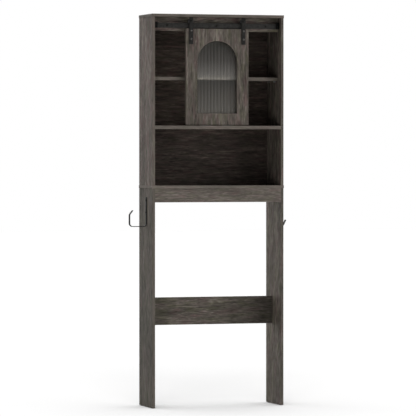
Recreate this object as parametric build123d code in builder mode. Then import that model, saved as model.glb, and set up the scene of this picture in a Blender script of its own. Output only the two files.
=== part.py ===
"""Over-the-toilet storage rack: panel legs, open cabinet and a sliding door with an arched window.

Millimetres. The origin is on the floor at the centre of the footprint, +X to the right, +Y to the wall, +Z up.
"""

import os

from build123d import *

# Overall size and boards
overall_width = 600.0
overall_depth = 200.0
overall_height = 1700.0
panel_t = 12.0
shelf_t = 15.0
board_overhang = 1.5
edge_ease = 0.6

# Heights and depths of the fixed boards
bottom_board_top = 960.0
fixed_shelf_top = 1219.0
middle_shelf_top = 1430.0
middle_shelf_setback = 39.0
middle_shelf_gap = 0.5
apron_h = 60.0
stretcher_bottom = 353.5
stretcher_h = 120.0
stretcher_setback = 118.0
header_h = 60.0
header_setback = 40.0
back_panel_t = 3.0
back_panel_inset = 8.0
back_groove_depth = 5.0
back_groove_gap = 0.2

# Foot glides
glide_t = 2.0
glide_r = 5.0
glide_pin_r = 1.2
glide_pin_l = 10.0
glide_inset = 25.0

# Cam bolts, cam discs, covers and dowels
cam_setback = 24.0
cam_r = 6.0
cam_turn = 45.0
cam_gap = 0.2
cam_cover_r = 7.5
cam_cover_t = 0.5
bolt_thread_r = 2.4
bolt_thread_l = 8.0
bolt_neck_r = 1.8
bolt_neck_l = 4.0
bolt_head_r = 2.8
bolt_head_l = 3.0
bolt_bore_r = 3.2
thread_bore_gap = 0.1
dowel_r = 3.0
dowel_face_l = 8.0
dowel_end_l = 14.0
dowel_gap = 0.1
upper_cam_inset = 70.0
leg_cam_inset = 40.0
leg_dowel_inset = 20.0
shelf_cam_inset = 55.0
narrow_board_cam_offset = 14.0
stretcher_cam_offset = 35.0

# Shelf pins
pin_r = 2.5
pin_peg_l = 8.0
pin_pad_x = 9.0
pin_pad_y = 8.0
pin_inset = 35.0
pin_gap = 0.1

# Rail, spacers, bolts and end stops
rail_t = 4.0
rail_h = 22.0
rail_headroom = 25.5
rail_end_gap = 1.0
rail_bolt_inset = 62.5
rail_bolt_r = 3.0
rail_bolt_gap = 0.2
rail_bolt_bite = 9.0
rail_bolt_head_r = 5.0
rail_bolt_head_h = 3.0
spacer_r = 6.0
stop_w = 12.0
stop_wall = 4.0
stop_cap = 4.0
stop_end_gap = 4.0
stop_slot_gap = 0.1
stop_screw_r = 2.0

# Door panel
door_w = 285.0
door_t = 15.0
door_setback = 15.0
door_rail_gap = 2.5
door_shelf_gap = 3.0
stile_w = 51.5
window_bottom_margin = 50.5
window_top_margin = 52.5
groove_w = 6.4
groove_depth = 10.0

# Reeded pane and its clips
pane_base_t = 2.6
reed_h = 1.4
reed_pitch = 15.0
pane_lap = 8.0
pane_gap = 0.5
clip_l = 20.0
clip_w = 11.0
clip_t = 2.0
clip_pane_lap = 5.0
clip_screw_r = 1.5
clip_screw_l = 8.0
clip_screw_head_r = 3.0
clip_screw_head_h = 1.2
clip_screw_gap = 0.1
clip_low_offset = 45.0

# Strap hangers, axles and rollers
hanger_w = 18.0
hanger_t = 3.0
hanger_inset = 23.5
hanger_lap = 67.0
hanger_corner_r = 2.0
hanger_top_gap = 1.5
hanger_bolt_drop = 9.0
hanger_bolt_spacing = 36.0
hanger_bolt_r = 2.5
hanger_bolt_bite = 11.0
hanger_bolt_head_r = 4.5
hanger_bolt_head_h = 2.5
hanger_bolt_gap = 0.1
tread_r = 8.0
flange_r = 11.5
flange_w = 2.5
tread_side_gap = 0.4
roller_rail_gap = 0.2
roller_end_gap = 0.2
axle_r = 3.0
axle_gap = 0.05
axle_head_r = 4.5
axle_head_h = 2.5
axle_tail = 1.5
bush_r = 5.0
nut_across_flats = 10.0
nut_h = 4.0

# Bottom guides of the door
guide_x = 50.0
guide_base_l = 46.0
guide_base_w = 12.0
guide_base_t = 1.6
guide_tongue_l = 24.0
guide_side_gap = 0.5
guide_top_gap = 1.5
guide_screw_offset = 17.5
guide_screw_r = 1.5
guide_screw_head_r = 2.7
guide_screw_l = 10.0
guide_screw_gap = 0.1

# Wall brackets
bracket_x = 200.0
bracket_w = 20.0
bracket_t = 2.0
bracket_depth = 26.0
bracket_h = 40.0
wall_hole_r = 2.5
wall_hole_drop = 27.0
bracket_screw_r = 1.75
bracket_screw_l = 9.0
bracket_screw_head_r = 3.5
bracket_screw_head_h = 1.8
bracket_screw_gap = 0.1
bracket_screw_setback = 17.0

# Side hooks
hook_strip_w = 16.0
hook_strip_t = 3.0
hook_setback = 88.0
hook_top = 908.0
hook_bottom = 781.5
left_hook_bend_r = 14.0
right_hook_bend_r = 8.0
left_hook_reach = 78.5
left_prong_top = 835.0
left_tip_run = 13.5
left_tip_rise = 17.0
right_hook_floor = 26.5
right_lip_run = 11.0
right_lip_rise = 24.0
hook_screw_drop = 12.0
hook_screw_spacing = 52.0
hook_screw_r = 1.75
hook_screw_bite = 9.0
hook_screw_head_r = 3.8
hook_screw_head_h = 2.0
hook_screw_gap = 0.1

# Planes and levels that the pieces share
front_y = -overall_depth / 2
back_y = overall_depth / 2
side_front_y = front_y + board_overhang
side_outer_x = overall_width / 2 - board_overhang
side_inner_x = side_outer_x - panel_t
side_mid_x = side_inner_x + panel_t / 2
top_underside = overall_height - panel_t
bottom_board_underside = bottom_board_top - panel_t
back_rear_y = back_y - back_panel_inset
back_front_y = back_rear_y - back_panel_t
shelf_back_y = back_front_y - middle_shelf_gap
header_front_y = side_front_y + header_setback
header_mid_y = header_front_y + panel_t / 2
header_mid_z = top_underside - header_h / 2
apron_mid_y = side_front_y + panel_t / 2
apron_mid_z = bottom_board_underside - apron_h / 2
stretcher_mid_y = side_front_y + stretcher_setback + panel_t / 2
stretcher_mid_z = stretcher_bottom + stretcher_h / 2
fixed_shelf_mid_z = fixed_shelf_top - shelf_t / 2
middle_shelf_underside = middle_shelf_top - shelf_t

door_front_y = side_front_y + door_setback
door_back_y = door_front_y + door_t
door_mid_y = door_front_y + door_t / 2
rail_top = top_underside - rail_headroom
rail_bottom = rail_top - rail_h
rail_mid_z = rail_bottom + rail_h / 2
rail_front_y = door_mid_y - rail_t / 2
rail_back_y = door_mid_y + rail_t / 2
rail_bolt_x = side_inner_x - rail_bolt_inset
door_top = rail_bottom - door_rail_gap
door_bottom = fixed_shelf_top + door_shelf_gap
window_w = door_w - 2 * stile_w
window_bottom = door_bottom + window_bottom_margin
window_top = door_top - window_top_margin
window_spring = window_top - window_w / 2
pane_t = pane_base_t + reed_h
pane_front_y = door_back_y - pane_t

hanger_x = door_w / 2 - hanger_inset
strap_front_y = door_front_y - hanger_t
axle_z = rail_top + roller_rail_gap + tread_r
roller_w = rail_t + 2 * tread_side_gap + 2 * flange_w
roller_front_y = door_mid_y - roller_w / 2
roller_back_y = door_mid_y + roller_w / 2
hanger_bolt_heights = (door_top - hanger_bolt_drop, door_top - hanger_bolt_drop - hanger_bolt_spacing)

hook_mid_y = side_front_y + hook_setback
hook_screw_heights = (hook_top - hook_screw_drop, hook_top - hook_screw_drop - hook_screw_spacing)
sides = (-1, 1)

os.makedirs("parts", exist_ok=True)


def save(builder, name):
    """Label a finished piece and write it as its own file."""
    builder.part.label = name
    export_step(builder.part, f"parts/{name}.step")


def board(x_span, y_span, z_span):
    """Eased board in the current part, between the given spans."""
    spans = (x_span, y_span, z_span)
    with Locations(tuple(sum(span) / 2 for span in spans)):
        Box(*(high - low for low, high in spans))
    fillet(edges(), edge_ease)


def block(x_span, y_span, z_span, mode=Mode.ADD):
    """Sharp-edged block in the current part, between the given spans."""
    spans = (x_span, y_span, z_span)
    with Locations(tuple(sum(span) / 2 for span in spans)):
        Box(*(high - low for low, high in spans), mode=mode)


def rod(planes, radius, start, length, mode=Mode.ADD):
    """Round rod, or bore, along each plane's normal from a start height."""
    with Locations(*[plane.offset(start) for plane in planes]):
        Cylinder(radius, length, align=(Align.CENTER, Align.CENTER, Align.MIN), mode=mode)


def toward_back(x, y, z):
    """Plane whose normal points to the wall, for screws driven from the front."""
    return Plane(origin=(x, y, z), x_dir=(1, 0, 0), z_dir=(0, 1, 0))


def end_joint(side, y, z, cam_face):
    """Joint frame where a cross board's end meets an inner side face: normal into the board's end."""
    return Plane(origin=(side * side_inner_x, y, z), x_dir=cam_face, z_dir=(-side, 0, 0))


def edge_joint(side, y, z, up):
    """Joint frame where an upright's end meets a level board: normal into the upright, cam face inwards."""
    return Plane(origin=(side * side_mid_x, y, z), x_dir=(-side, 0, 0), z_dir=(0, 0, up))


def face_bores(cam_joints, dowel_joints):
    """Bores in the board whose face is met: bolt threads and dowel sockets."""
    if cam_joints:
        depth = bolt_thread_l + thread_bore_gap
        rod(cam_joints, bolt_thread_r + thread_bore_gap, -depth, depth, Mode.SUBTRACT)
    if dowel_joints:
        depth = dowel_face_l + dowel_gap
        rod(dowel_joints, dowel_r + dowel_gap, -depth, depth, Mode.SUBTRACT)


def cam_depth(thickness):
    """Depth of a cam's bore: past the bolt's channel on the board's centre line."""
    return thickness / 2 + bolt_bore_r + 2 * cam_gap


def cam_place(thickness):
    """Cam axis in a joint frame: square to the board's face, with the cam turned to its locked angle."""
    return Location((thickness / 2, 0, cam_setback), (0, 90, cam_turn))


def end_bores(cam_joints, dowel_joints, thickness):
    """Bores in the board that ends at the joint: bolt channel, cam pocket and dowel socket."""
    rod(cam_joints, bolt_bore_r, 0, cam_setback + bolt_head_l, Mode.SUBTRACT)
    with Locations(*cam_joints):
        with Locations(cam_place(thickness)):
            Cylinder(
                cam_r,
                cam_depth(thickness),
                align=(Align.CENTER, Align.CENTER, Align.MAX),
                mode=Mode.SUBTRACT,
            )
    rod(dowel_joints, dowel_r + dowel_gap, 0, dowel_end_l + dowel_gap, Mode.SUBTRACT)


# Joint frames, grouped by the boards that they join
upper_cam_y = (side_front_y + upper_cam_inset, back_y - upper_cam_inset)
leg_cam_y = (side_front_y + leg_cam_inset, back_y - leg_cam_inset)
shelf_cam_y = (side_front_y + shelf_cam_inset, back_front_y - shelf_cam_inset)
upper_dowel_y = sum(upper_cam_y) / 2
leg_dowel_y = side_front_y + leg_dowel_inset
shelf_dowel_y = sum(shelf_cam_y) / 2
header_cam_z = header_mid_z + narrow_board_cam_offset
header_dowel_z = header_mid_z - narrow_board_cam_offset
apron_cam_z = apron_mid_z - narrow_board_cam_offset
apron_dowel_z = apron_mid_z + narrow_board_cam_offset
stretcher_cam_z = (stretcher_mid_z - stretcher_cam_offset, stretcher_mid_z + stretcher_cam_offset)
rear = (0, 1, 0)
under = (0, 0, -1)

top_cams = {s: [edge_joint(s, y, top_underside, -1) for y in upper_cam_y] for s in sides}
top_dowels = {s: [edge_joint(s, upper_dowel_y, top_underside, -1)] for s in sides}
base_cams = {s: [edge_joint(s, y, bottom_board_top, 1) for y in upper_cam_y] for s in sides}
base_dowels = {s: [edge_joint(s, upper_dowel_y, bottom_board_top, 1)] for s in sides}
leg_cams = {s: [edge_joint(s, y, bottom_board_underside, -1) for y in leg_cam_y] for s in sides}
leg_dowels = {s: [edge_joint(s, leg_dowel_y, bottom_board_underside, -1)] for s in sides}
shelf_cams = {s: [end_joint(s, y, fixed_shelf_mid_z, under) for y in shelf_cam_y] for s in sides}
shelf_dowels = {s: [end_joint(s, shelf_dowel_y, fixed_shelf_mid_z, under)] for s in sides}
header_cams = {s: [end_joint(s, header_mid_y, header_cam_z, rear)] for s in sides}
header_dowels = {s: [end_joint(s, header_mid_y, header_dowel_z, rear)] for s in sides}
apron_cams = {s: [end_joint(s, apron_mid_y, apron_cam_z, rear)] for s in sides}
apron_dowels = {s: [end_joint(s, apron_mid_y, apron_dowel_z, rear)] for s in sides}
stretcher_cams = {s: [end_joint(s, stretcher_mid_y, z, rear) for z in stretcher_cam_z] for s in sides}
stretcher_dowels = {s: [end_joint(s, stretcher_mid_y, stretcher_mid_z, rear)] for s in sides}

panel_cam_groups = (top_cams, base_cams, leg_cams, header_cams, apron_cams, stretcher_cams)
panel_cam_joints = [plane for group in panel_cam_groups for s in sides for plane in group[s]]
shelf_cam_joints = [plane for s in sides for plane in shelf_cams[s]]
dowel_groups = (top_dowels, base_dowels, leg_dowels, shelf_dowels, header_dowels, apron_dowels, stretcher_dowels)
dowel_joints = [plane for group in dowel_groups for s in sides for plane in group[s]]

# Spans that several boards share
inner_span = (-side_inner_x, side_inner_x)
full_width_span = (-overall_width / 2, overall_width / 2)
full_depth_span = (front_y, back_y)
side_depth_span = (side_front_y, back_y)
groove_y_span = (back_front_y - back_groove_gap, back_rear_y + back_groove_gap)
groove_reach_x = side_inner_x + back_groove_depth
groove_x_span = (-groove_reach_x, groove_reach_x)

# Wall bracket places
bracket_screw_y = back_front_y - bracket_screw_setback
bracket_screws_up = [Plane(origin=(s * bracket_x, bracket_screw_y, top_underside)) for s in sides]
wall_hole_z = top_underside - wall_hole_drop
wall_holes = [toward_back(s * bracket_x, back_front_y, wall_hole_z) for s in sides]

# Top panel, grooved for the back panel
with BuildPart() as top_panel:
    board(full_width_span, full_depth_span, (top_underside, overall_height))
    block(groove_x_span, groove_y_span, (top_underside, top_underside + back_groove_depth), Mode.SUBTRACT)
    for s in sides:
        face_bores(top_cams[s], top_dowels[s])
    screw_depth = bracket_screw_l - bracket_t + bracket_screw_gap
    rod(bracket_screws_up, bracket_screw_r + bracket_screw_gap, 0, screw_depth, Mode.SUBTRACT)
save(top_panel, "top_panel")

# Bottom board, between the upper sides and the legs
with BuildPart() as bottom_board:
    board(full_width_span, full_depth_span, (bottom_board_underside, bottom_board_top))
    block(groove_x_span, groove_y_span, (bottom_board_top - back_groove_depth, bottom_board_top), Mode.SUBTRACT)
    for s in sides:
        face_bores(base_cams[s], base_dowels[s])
        face_bores(leg_cams[s], leg_dowels[s])
save(bottom_board, "bottom_board")

# Shelf pin places, on the inner faces of the upper sides
pin_y = (side_front_y + middle_shelf_setback + pin_inset, shelf_back_y - pin_inset)
pin_z = middle_shelf_underside - pin_r
pin_planes = {
    s: [Plane(origin=(s * side_inner_x, y, pin_z), x_dir=(0, 1, 0), z_dir=(s, 0, 0)) for y in pin_y]
    for s in sides
}

# Upper sides and legs, one pair for each hand
for s, hand in zip(sides, ("left", "right")):
    side_x_span = sorted((s * side_inner_x, s * side_outer_x))
    with BuildPart() as upper_side:
        board(side_x_span, side_depth_span, (bottom_board_top, top_underside))
        groove_x = sorted((s * side_inner_x, s * groove_reach_x))
        block(groove_x, groove_y_span, (bottom_board_top, top_underside), Mode.SUBTRACT)
        end_bores(top_cams[s], top_dowels[s], panel_t)
        end_bores(base_cams[s], base_dowels[s], panel_t)
        face_bores(shelf_cams[s] + header_cams[s], shelf_dowels[s] + header_dowels[s])
        rod(pin_planes[s], pin_r + pin_gap, 0, pin_peg_l + pin_gap, Mode.SUBTRACT)
    save(upper_side, f"upper_side_{hand}")

    hook_screw_bores = [
        Plane(origin=(s * side_outer_x, hook_mid_y, z), x_dir=(0, 1, 0), z_dir=(-s, 0, 0))
        for z in hook_screw_heights
    ]
    glide_bores = [
        Plane(origin=(s * side_mid_x, y, glide_t)) for y in (side_front_y + glide_inset, back_y - glide_inset)
    ]
    with BuildPart() as leg:
        board(side_x_span, side_depth_span, (glide_t, bottom_board_underside))
        end_bores(leg_cams[s], leg_dowels[s], panel_t)
        face_bores(apron_cams[s] + stretcher_cams[s], apron_dowels[s] + stretcher_dowels[s])
        rod(hook_screw_bores, hook_screw_r + hook_screw_gap, 0, hook_screw_bite + hook_screw_gap, Mode.SUBTRACT)
        rod(glide_bores, glide_pin_r + pin_gap, 0, glide_pin_l + pin_gap, Mode.SUBTRACT)
    save(leg, f"leg_{hand}")

# Front apron under the bottom board
with BuildPart() as front_apron:
    apron_y_span = (side_front_y, side_front_y + panel_t)
    board(inner_span, apron_y_span, (bottom_board_underside - apron_h, bottom_board_underside))
    for s in sides:
        end_bores(apron_cams[s], apron_dowels[s], panel_t)
save(front_apron, "front_apron")

# Stretcher between the legs
with BuildPart() as stretcher:
    stretcher_y_span = (stretcher_mid_y - panel_t / 2, stretcher_mid_y + panel_t / 2)
    board(inner_span, stretcher_y_span, (stretcher_bottom, stretcher_bottom + stretcher_h))
    for s in sides:
        end_bores(stretcher_cams[s], stretcher_dowels[s], panel_t)
save(stretcher, "stretcher")

# Header board that carries the rail
rail_bolt_places = [toward_back(x, rail_front_y, rail_mid_z) for x in (-rail_bolt_x, 0, rail_bolt_x)]
spacer_l = header_front_y - rail_back_y
rail_bolt_l = rail_t + spacer_l + rail_bolt_bite
with BuildPart() as header_board:
    board(inner_span, (header_front_y, header_front_y + panel_t), (top_underside - header_h, top_underside))
    for s in sides:
        end_bores(header_cams[s], header_dowels[s], panel_t)
    rod(rail_bolt_places, rail_bolt_r + rail_bolt_gap, 0, rail_bolt_l + rail_bolt_gap, Mode.SUBTRACT)
save(header_board, "header_board")

# Fixed shelf under the door
guide_screw_places = [
    Plane(origin=(s * guide_x + offset, door_mid_y, fixed_shelf_top))
    for s in sides
    for offset in (-guide_screw_offset, guide_screw_offset)
]
guide_screw_bite = guide_screw_l - guide_base_t + guide_screw_gap
with BuildPart() as fixed_shelf:
    board(inner_span, (side_front_y, shelf_back_y), (fixed_shelf_top - shelf_t, fixed_shelf_top))
    for s in sides:
        end_bores(shelf_cams[s], shelf_dowels[s], shelf_t)
    rod(guide_screw_places, guide_screw_r + guide_screw_gap, -guide_screw_bite, guide_screw_bite, Mode.SUBTRACT)
save(fixed_shelf, "fixed_shelf")

# Middle shelf, loose on its pins
with BuildPart() as middle_shelf:
    shelf_half = side_inner_x - middle_shelf_gap
    shelf_y_span = (side_front_y + middle_shelf_setback, shelf_back_y)
    board((-shelf_half, shelf_half), shelf_y_span, (middle_shelf_underside, middle_shelf_top))
save(middle_shelf, "middle_shelf")

# Shelf pins: a round peg in the side and a flat pad under the shelf
with BuildPart() as shelf_pins:
    for s in sides:
        rod(pin_planes[s], pin_r, 0, pin_peg_l)
        pad_x = sorted((s * side_inner_x, s * (side_inner_x - pin_pad_x)))
        for y in pin_y:
            block(pad_x, (y - pin_pad_y / 2, y + pin_pad_y / 2), (pin_z - pin_r, pin_z + pin_r))
save(shelf_pins, "shelf_pins")

# Back panel in its grooves, with a hole for each wall screw
with BuildPart() as back_panel:
    back_reach = back_groove_depth - back_groove_gap
    back_half = side_inner_x + back_reach
    back_z_span = (bottom_board_top - back_reach, top_underside + back_reach)
    block((-back_half, back_half), (back_front_y, back_rear_y), back_z_span)
    rod(wall_holes, wall_hole_r, 0, back_panel_t, Mode.SUBTRACT)
save(back_panel, "back_panel")

# Hidden fittings of the board joints
with BuildPart() as cam_bolts:
    all_cam_joints = panel_cam_joints + shelf_cam_joints
    shank_l = cam_setback - bolt_neck_l
    rod(all_cam_joints, bolt_thread_r, -bolt_thread_l, bolt_thread_l + shank_l)
    rod(all_cam_joints, bolt_neck_r, shank_l, bolt_neck_l)
    rod(all_cam_joints, bolt_head_r, cam_setback - bolt_head_l / 2, bolt_head_l)
save(cam_bolts, "cam_bolts")

with BuildPart() as cam_discs:
    for joints, thickness in ((panel_cam_joints, panel_t), (shelf_cam_joints, shelf_t)):
        disc_l = cam_depth(thickness) - cam_gap
        slot_l = disc_l - (thickness / 2 - bolt_head_r - cam_gap)
        with Locations(*joints):
            with Locations(cam_place(thickness)):
                Cylinder(cam_r - cam_gap, disc_l, align=(Align.CENTER, Align.CENTER, Align.MAX))
        with Locations(*joints):
            with Locations((thickness / 2 - disc_l, 0, cam_setback + bolt_head_l / 2 + cam_gap)):
                Box(
                    slot_l,
                    2 * (bolt_head_r + cam_gap),
                    cam_r + bolt_head_l,
                    align=(Align.MIN, Align.CENTER, Align.MAX),
                    mode=Mode.SUBTRACT,
                )
save(cam_discs, "cam_discs")

with BuildPart() as cam_covers:
    for joints, thickness in ((panel_cam_joints, panel_t), (shelf_cam_joints, shelf_t)):
        with Locations(*joints):
            with Locations(cam_place(thickness)):
                Cylinder(cam_cover_r, cam_cover_t, align=(Align.CENTER, Align.CENTER, Align.MIN))
save(cam_covers, "cam_covers")

with BuildPart() as dowels:
    rod(dowel_joints, dowel_r, -dowel_face_l, dowel_face_l + dowel_end_l)
save(dowels, "dowels")

# Foot glides: a round pad with a pin driven into the leg's lower edge
with BuildPart() as foot_glides:
    glide_planes = [
        Plane(origin=(s * side_mid_x, y, 0))
        for s in sides
        for y in (side_front_y + glide_inset, back_y - glide_inset)
    ]
    rod(glide_planes, glide_r, 0, glide_t)
    rod(glide_planes, glide_pin_r, glide_t, glide_pin_l)
save(foot_glides, "foot_glides")

# Wall brackets: an angle under the top panel and against the back panel
with BuildPart() as wall_brackets:
    for s in sides:
        x_span = (s * bracket_x - bracket_w / 2, s * bracket_x + bracket_w / 2)
        y_span = (back_front_y - bracket_depth, back_front_y)
        block(x_span, y_span, (top_underside - bracket_t, top_underside))
        block(x_span, (back_front_y - bracket_t, back_front_y), (top_underside - bracket_h, top_underside))
    rod(wall_holes, wall_hole_r, -bracket_t, bracket_t, Mode.SUBTRACT)
    rod(bracket_screws_up, bracket_screw_r + bracket_screw_gap, -bracket_t, bracket_t, Mode.SUBTRACT)
save(wall_brackets, "wall_brackets")

with BuildPart() as bracket_screws:
    rod(bracket_screws_up, bracket_screw_head_r, -bracket_t - bracket_screw_head_h, bracket_screw_head_h)
    rod(bracket_screws_up, bracket_screw_r, -bracket_t, bracket_screw_l)
save(bracket_screws, "bracket_screws")

# Side hooks: flat strip bent in the plane of the front
hook_x = side_outer_x + hook_strip_t / 2
hook_floor_z = hook_bottom + hook_strip_t / 2
left_prong_x = side_outer_x + left_hook_reach - hook_strip_t / 2
left_hook_points = [
    (-hook_x, hook_top),
    (-hook_x, hook_floor_z),
    (-left_prong_x, hook_floor_z),
    (-left_prong_x, left_prong_top),
    (-left_prong_x + left_tip_run, left_prong_top + left_tip_rise),
]
right_floor_x = hook_x + right_hook_floor
right_hook_points = [
    (hook_x, hook_top),
    (hook_x, hook_floor_z),
    (right_floor_x, hook_floor_z),
    (right_floor_x + right_lip_run, hook_floor_z + right_lip_rise),
]
for s, hand, points, bend_r in (
    (-1, "left", left_hook_points, left_hook_bend_r),
    (1, "right", right_hook_points, right_hook_bend_r),
):
    hook_screw_places = [
        Plane(origin=(s * (side_outer_x + hook_strip_t), hook_mid_y, z), x_dir=(0, 1, 0), z_dir=(-s, 0, 0))
        for z in hook_screw_heights
    ]
    with BuildPart() as hook:
        with BuildSketch(Plane.XZ.offset(-hook_mid_y)):
            with BuildLine():
                centre_line = FilletPolyline(*points, radius=bend_r)
                offset(centre_line, amount=hook_strip_t / 2, side=Side.BOTH, mode=Mode.REPLACE)
            make_face()
        extrude(amount=hook_strip_w / 2, both=True)
        rod(hook_screw_places, hook_screw_r + hook_screw_gap, 0, hook_strip_t, Mode.SUBTRACT)
    save(hook, f"side_hook_{hand}")

with BuildPart() as hook_screws:
    for s in sides:
        places = [
            Plane(origin=(s * (side_outer_x + hook_strip_t), hook_mid_y, z), x_dir=(0, 1, 0), z_dir=(-s, 0, 0))
            for z in hook_screw_heights
        ]
        rod(places, hook_screw_head_r, -hook_screw_head_h, hook_screw_head_h)
        rod(places, hook_screw_r, 0, hook_strip_t + hook_screw_bite)
save(hook_screws, "hook_screws")

# Rail on spacers in front of the header
rail_half = side_inner_x - rail_end_gap
with BuildPart() as track_rail:
    block((-rail_half, rail_half), (rail_front_y, rail_back_y), (rail_bottom, rail_top))
    rod(rail_bolt_places, rail_bolt_r + rail_bolt_gap, 0, rail_t, Mode.SUBTRACT)
save(track_rail, "track_rail")

with BuildPart() as rail_spacers:
    rod(rail_bolt_places, spacer_r, rail_t, spacer_l)
    rod(rail_bolt_places, rail_bolt_r + rail_bolt_gap, rail_t, spacer_l, Mode.SUBTRACT)
save(rail_spacers, "rail_spacers")

with BuildPart() as rail_bolts:
    rod(rail_bolt_places, rail_bolt_head_r, -rail_bolt_head_h, rail_bolt_head_h)
    rod(rail_bolt_places, rail_bolt_r, 0, rail_bolt_l)
save(rail_bolts, "rail_bolts")

# End stops: saddles over the rail, each clamped by a grub screw
stop_outer_x = side_inner_x - stop_end_gap
stop_screw_places = [
    toward_back(s * (stop_outer_x - stop_w / 2), rail_front_y - stop_slot_gap, rail_mid_z) for s in sides
]
stop_front_depth = stop_wall - stop_slot_gap
for s, hand in zip(sides, ("left", "right")):
    stop_x_span = sorted((s * stop_outer_x, s * (stop_outer_x - stop_w)))
    with BuildPart() as rail_stop:
        block(stop_x_span, (rail_front_y - stop_wall, rail_back_y + stop_wall), (rail_bottom, rail_top + stop_cap))
        slot_y_span = (rail_front_y - stop_slot_gap, rail_back_y + stop_slot_gap)
        block(stop_x_span, slot_y_span, (rail_bottom, rail_top), Mode.SUBTRACT)
        rod(stop_screw_places, stop_screw_r + stop_slot_gap, -stop_front_depth, stop_front_depth, Mode.SUBTRACT)
    save(rail_stop, f"rail_stop_{hand}")

with BuildPart() as stop_screws:
    rod(stop_screw_places, stop_screw_r, -stop_front_depth, stop_wall)
save(stop_screws, "stop_screws")

# Bottom guides: a low base on the fixed shelf and a tongue in the door's groove
tongue_half = groove_w / 2 - guide_side_gap
tongue_top = door_bottom + groove_depth - guide_top_gap
guide_base_top = fixed_shelf_top + guide_base_t
with BuildPart() as door_guides:
    for s in sides:
        base_x_span = (s * guide_x - guide_base_l / 2, s * guide_x + guide_base_l / 2)
        base_y_span = (door_mid_y - guide_base_w / 2, door_mid_y + guide_base_w / 2)
        block(base_x_span, base_y_span, (fixed_shelf_top, guide_base_top))
        tongue_x_span = (s * guide_x - guide_tongue_l / 2, s * guide_x + guide_tongue_l / 2)
        block(tongue_x_span, (door_mid_y - tongue_half, door_mid_y + tongue_half), (guide_base_top, tongue_top))
    with Locations(*[plane.offset(guide_base_t) for plane in guide_screw_places]):
        CounterSinkHole(guide_screw_r + guide_screw_gap, guide_screw_head_r + guide_screw_gap, guide_base_t, 90)
save(door_guides, "door_guides")

with BuildPart() as guide_screws:
    head_h = guide_screw_head_r - guide_screw_r
    with Locations(*[plane.offset(guide_base_t) for plane in guide_screw_places]):
        Cone(guide_screw_r, guide_screw_head_r, head_h, align=(Align.CENTER, Align.CENTER, Align.MAX))
    rod(guide_screw_places, guide_screw_r, guide_base_t - guide_screw_l, guide_screw_l - head_h)
save(guide_screws, "guide_screws")


def arch(width, bottom, spring):
    """Closed outline of a round-headed window in the current sketch, from its sill up."""
    half = width / 2
    with BuildLine(mode=Mode.PRIVATE) as outline:
        Polyline((-half, spring), (-half, bottom), (half, bottom), (half, spring))
        ThreePointArc((half, spring), (0, spring + half), (-half, spring))
    make_face(outline.edges())


# Door panel: arched window, rebate for the pane at the back, groove for the guides below
hanger_bolt_places = [
    toward_back(s * hanger_x, strap_front_y, z) for s in sides for z in hanger_bolt_heights
]
clip_reach = clip_l - clip_pane_lap
clip_edge = window_w / 2 + pane_lap + pane_gap
clip_low_z = window_bottom + clip_low_offset
clip_places = [
    Plane(origin=(edge * clip_edge, door_back_y, z), x_dir=(edge, 0, 0), z_dir=(0, 1, 0))
    for edge in sides
    for z in (clip_low_z, window_spring)
]
clip_places += [
    Plane(origin=(0, door_back_y, window_bottom - pane_lap - pane_gap), x_dir=(0, 0, -1), z_dir=(0, 1, 0)),
    Plane(origin=(0, door_back_y, window_top + pane_lap + pane_gap), x_dir=(0, 0, 1), z_dir=(0, 1, 0)),
]
clip_screw_places = [plane.shift_origin(plane.from_local_coords((clip_reach / 2, 0, 0))) for plane in clip_places]
with BuildPart() as door_panel:
    board((-door_w / 2, door_w / 2), (door_front_y, door_back_y), (door_bottom, door_top))
    with BuildSketch(Plane.XZ.offset(-door_back_y)):
        arch(window_w, window_bottom, window_spring)
    extrude(amount=door_t, mode=Mode.SUBTRACT)
    with BuildSketch(Plane.XZ.offset(-door_back_y)):
        rebate_lap = pane_lap + pane_gap
        arch(window_w + 2 * rebate_lap, window_bottom - rebate_lap, window_spring)
    extrude(amount=pane_t, mode=Mode.SUBTRACT)
    groove_span = (door_mid_y - groove_w / 2, door_mid_y + groove_w / 2)
    block((-door_w / 2, door_w / 2), groove_span, (door_bottom, door_bottom + groove_depth), Mode.SUBTRACT)
    bolt_depth = hanger_t + hanger_bolt_bite + hanger_bolt_gap
    rod(hanger_bolt_places, hanger_bolt_r + hanger_bolt_gap, 0, bolt_depth, Mode.SUBTRACT)
    clip_bite = clip_screw_l - clip_t + clip_screw_gap
    rod(clip_screw_places, clip_screw_r + clip_screw_gap, -clip_bite, clip_bite, Mode.SUBTRACT)
save(door_panel, "door_panel")

# Reeded pane: rounded vertical reeds on its front, flat behind, cut to the rebate's shape
pane_half = window_w / 2 + pane_lap
reed_count = 2 * int(pane_half / reed_pitch + 1)
reed_edge = reed_count * reed_pitch / 2
reed_valley_y = pane_front_y + reed_h
with BuildPart() as reeded_pane:
    with BuildSketch(Plane.XY.offset(window_bottom - pane_lap)):
        with BuildLine():
            Polyline(
                (-reed_edge, reed_valley_y),
                (-reed_edge, door_back_y),
                (reed_edge, door_back_y),
                (reed_edge, reed_valley_y),
            )
            for i in range(reed_count):
                left = -reed_edge + i * reed_pitch
                crest = (left + reed_pitch / 2, pane_front_y)
                ThreePointArc((left, reed_valley_y), crest, (left + reed_pitch, reed_valley_y))
        make_face()
    extrude(amount=window_top - window_bottom + 2 * pane_lap)
    with BuildSketch(Plane.XZ.offset(-door_back_y)):
        arch(2 * pane_half, window_bottom - pane_lap, window_spring)
    extrude(amount=pane_t, mode=Mode.INTERSECT)
save(reeded_pane, "reeded_pane")

# Pane clips on the door's back
with BuildPart() as pane_clips:
    with Locations(*clip_places):
        with Locations((-clip_pane_lap, 0, 0)):
            Box(clip_l, clip_w, clip_t, align=(Align.MIN, Align.CENTER, Align.MIN))
    rod(clip_screw_places, clip_screw_r + clip_screw_gap, 0, clip_t, Mode.SUBTRACT)
save(pane_clips, "pane_clips")

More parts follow.
